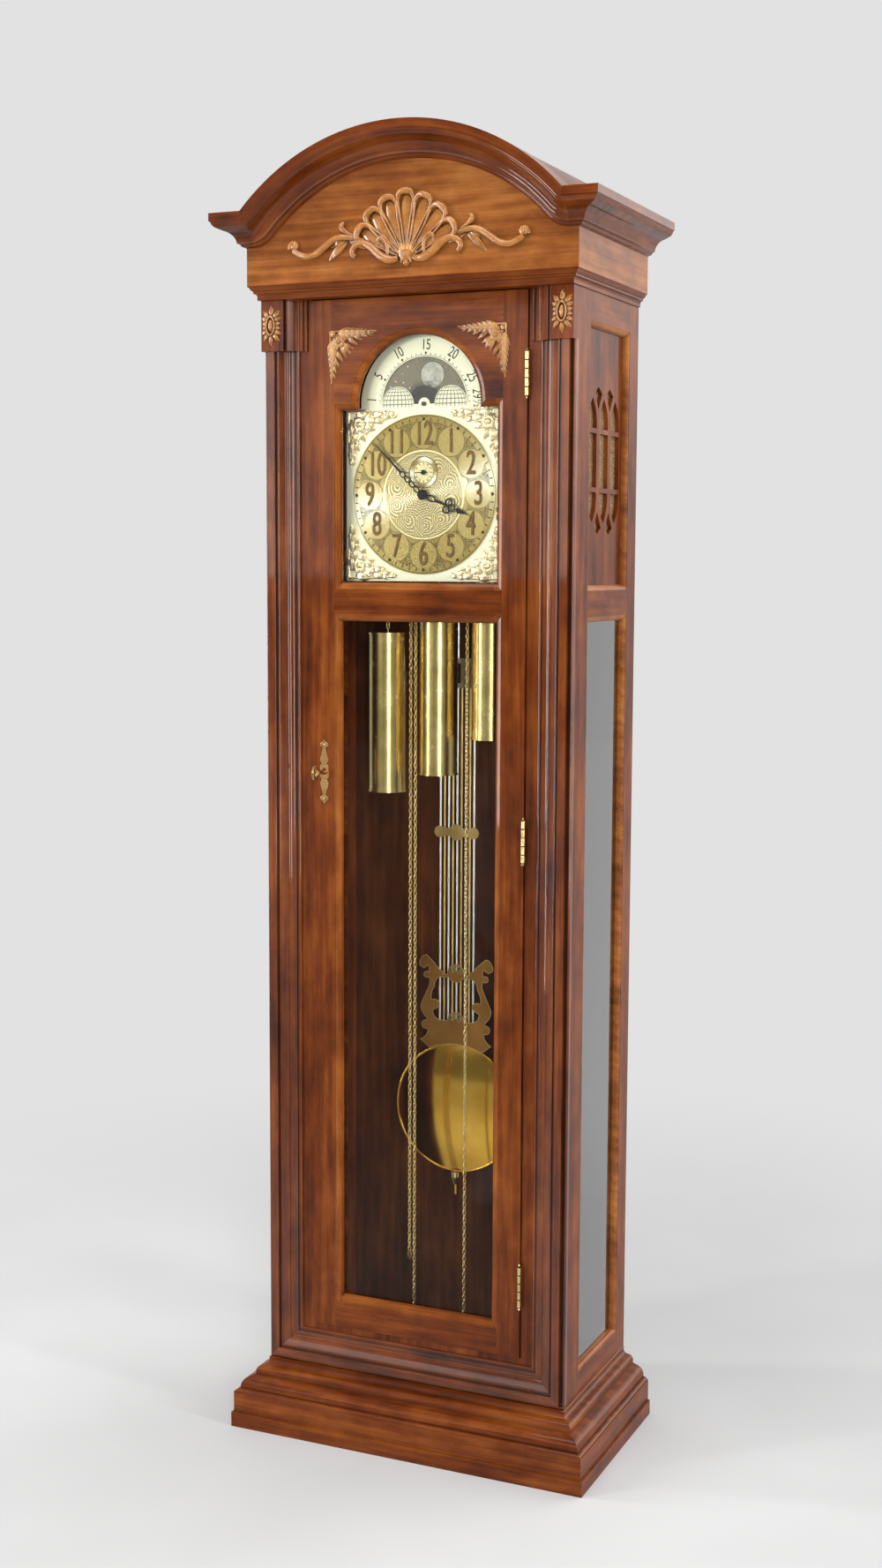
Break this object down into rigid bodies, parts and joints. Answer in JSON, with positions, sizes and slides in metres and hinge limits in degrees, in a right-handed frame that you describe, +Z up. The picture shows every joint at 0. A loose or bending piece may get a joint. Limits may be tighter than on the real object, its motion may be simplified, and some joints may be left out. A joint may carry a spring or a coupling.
{
  "type": "longcase clock",
  "caption": "Floor-standing longcase clock with an arched bonnet, glazed trunk door, moon-phase dial, chain-hung brass weights and a lyre pendulum.",
  "frame": {"origin": "middle of the overall footprint, on the floor", "axes": "+Z up, the dial faces -Y, +X to the right as seen from the front"},
  "size_m": [0.5954, 0.337, 1.9419],
  "materials": {
    "cherry": "gloss lacquer over reddish-brown stain",
    "figured_cherry": "gloss lacquer over golden-brown stain",
    "carved_cherry": "gloss lacquer, dark in the hollows",
    "glass": "clear",
    "grille_cloth": "open gold weave",
    "brass": "polished",
    "dial_brass": "brushed and lacquered",
    "moon_silver": "satin print",
    "hand_black": "gloss black",
    "steel": "bright",
    "iron": "dark"
  },
  "bodies": {
    "case": {"plinth_strip": "cherry", "base_moulding": "cherry", "floor_board": "cherry", "side_frames": "cherry", "side_beads": "cherry", "fret_panels": "cherry", "grille_cloths": "grille_cloth", "side_glasses": "glass", "back_panel": "cherry", "face_frame": "cherry", "front_moulding": "cherry", "capital_blocks": "cherry", "capital_rosettes": "carved_cherry", "neck_moulding": "cherry", "top_board": "cherry", "frieze_boards": "figured_cherry", "crown_moulding": "cherry", "bonnet_roof": "cherry", "shell_carving": "carved_cherry", "seat_board": "cherry", "dial_plate": "dial_brass", "chapter_disc": "dial_brass", "dial_spandrels": "brass", "movement_frame": "brass", "suspension_cock": "steel", "chime_rods": "iron", "hinge_case_leaves": "brass"},
    "door": {"door_stiles": "cherry", "door_rails": "cherry", "door_beads": "cherry", "door_glass": "glass", "door_carvings": "carved_cherry", "escutcheon": "brass", "lock_case": "steel", "hinge_door_leaves": "brass"},
    "key": {"door_key": "brass", "lock_cam": "steel"},
    "minute_hand": {"minute_hand": "hand_black"},
    "hour_hand": {"hour_hand": "hand_black"},
    "seconds_hand": {"seconds_hand": "brass"},
    "moon_disc": {"moon_disc": "moon_silver"},
    "chime_lever": {"chime_lever": "steel"},
    "pendulum": {"anchor": "steel", "pendulum_leader": "steel", "pendulum_rods": "steel", "pendulum_lyre": "brass", "pendulum_bob": "brass"},
    "rating_nut": {"rating_nut": "brass"},
    "left_weight": {"left_weight": "brass", "left_load_chain": "brass"},
    "left_free_chain": {"left_free_chain": "brass"},
    "left_chain_wheel": {"left_chain_wheel": "brass"},
    "centre_weight": {"centre_weight": "brass", "centre_load_chain": "brass"},
    "centre_free_chain": {"centre_free_chain": "brass"},
    "centre_chain_wheel": {"centre_chain_wheel": "brass"},
    "right_weight": {"right_weight": "brass", "right_load_chain": "brass"},
    "right_free_chain": {"right_free_chain": "brass"},
    "right_chain_wheel": {"right_chain_wheel": "brass"}
  },
  "joints": [
    {"name": "door_swing", "type": "hinge", "parent": "case", "child": "door", "pos_m": [0.17075, -0.097, 0.936], "axis": [0, 0, 1], "range_deg": [0, 115]},
    {"name": "key_turn", "type": "hinge", "parent": "door", "child": "key", "pos_m": [-0.1497, -0.0935, 1.024], "axis": [0, 1, 0], "range_deg": [0, 90]},
    {"name": "minute_turn", "type": "hinge", "parent": "case", "child": "minute_hand", "pos_m": [0, -0.0775, 1.432], "axis": [0, 1, 0], "continuous": true},
    {"name": "hour_turn", "type": "hinge", "parent": "case", "child": "hour_hand", "pos_m": [0, -0.074, 1.432], "axis": [0, 1, 0], "continuous": true},
    {"name": "moon_turn", "type": "hinge", "parent": "case", "child": "moon_disc", "pos_m": [0, -0.0657, 1.562], "axis": [0, 1, 0], "continuous": true},
    {"name": "seconds_turn", "type": "hinge", "parent": "case", "child": "seconds_hand", "pos_m": [0, -0.0715, 1.464], "axis": [0, 1, 0], "continuous": true},
    {"name": "chime_lever_turn", "type": "hinge", "parent": "case", "child": "chime_lever", "pos_m": [0.093, -0.043, 1.4043], "axis": [0, 1, 0], "range_deg": [-14, 14]},
    {"name": "pendulum_swing", "type": "hinge", "parent": "case", "child": "pendulum", "pos_m": [0, 0.06, 1.488], "axis": [0, 1, 0], "range_deg": [-3, 3]},
    {"name": "rating_nut_turn", "type": "hinge", "parent": "pendulum", "child": "rating_nut", "pos_m": [0, 0.06, 0.377], "axis": [0, 0, 1], "continuous": true},
    {"name": "left_weight_drop", "type": "slide", "parent": "case", "child": "left_weight", "axis": [0, 0, -1], "range_m": [-0.085, 0.85], "deforming": ["left_load_chain"]},
    {"name": "left_free_chain_lift", "type": "slide", "parent": "case", "child": "left_free_chain", "axis": [0, 0, 1], "range_m": [-0.085, 0.85], "deforming": ["left_free_chain"]},
    {"name": "left_wheel_turn", "type": "hinge", "parent": "case", "child": "left_chain_wheel", "pos_m": [-0.065, -0.012, 1.392], "axis": [0, 1, 0], "continuous": true},
    {"name": "centre_weight_drop", "type": "slide", "parent": "case", "child": "centre_weight", "axis": [0, 0, -1], "range_m": [-0.055, 0.88], "deforming": ["centre_load_chain"]},
    {"name": "centre_free_chain_lift", "type": "slide", "parent": "case", "child": "centre_free_chain", "axis": [0, 0, 1], "range_m": [-0.055, 0.88], "deforming": ["centre_free_chain"]},
    {"name": "centre_wheel_turn", "type": "hinge", "parent": "case", "child": "centre_chain_wheel", "pos_m": [-0.019, -0.012, 1.392], "axis": [0, 1, 0], "continuous": true},
    {"name": "right_weight_drop", "type": "slide", "parent": "case", "child": "right_weight", "axis": [0, 0, -1], "range_m": [0, 0.935], "deforming": ["right_load_chain"]},
    {"name": "right_free_chain_lift", "type": "slide", "parent": "case", "child": "right_free_chain", "axis": [0, 0, 1], "range_m": [0, 0.935], "deforming": ["right_free_chain"]},
    {"name": "right_wheel_turn", "type": "hinge", "parent": "case", "child": "right_chain_wheel", "pos_m": [0.065, -0.012, 1.392], "axis": [0, 1, 0], "continuous": true}
  ],
  "couplings": [
    {"joint": "hour_turn", "follows": "minute_turn", "ratio": 0.083333},
    {"joint": "moon_turn", "follows": "minute_turn", "ratio": 0.00070621},
    {"joint": "left_free_chain_lift", "follows": "left_weight_drop", "ratio": 1},
    {"joint": "left_wheel_turn", "follows": "left_weight_drop", "rad_per_m": -52.632},
    {"joint": "centre_free_chain_lift", "follows": "centre_weight_drop", "ratio": 1},
    {"joint": "centre_wheel_turn", "follows": "centre_weight_drop", "rad_per_m": 52.632},
    {"joint": "right_free_chain_lift", "follows": "right_weight_drop", "ratio": 1},
    {"joint": "right_wheel_turn", "follows": "right_weight_drop", "rad_per_m": 52.632}
  ]
}
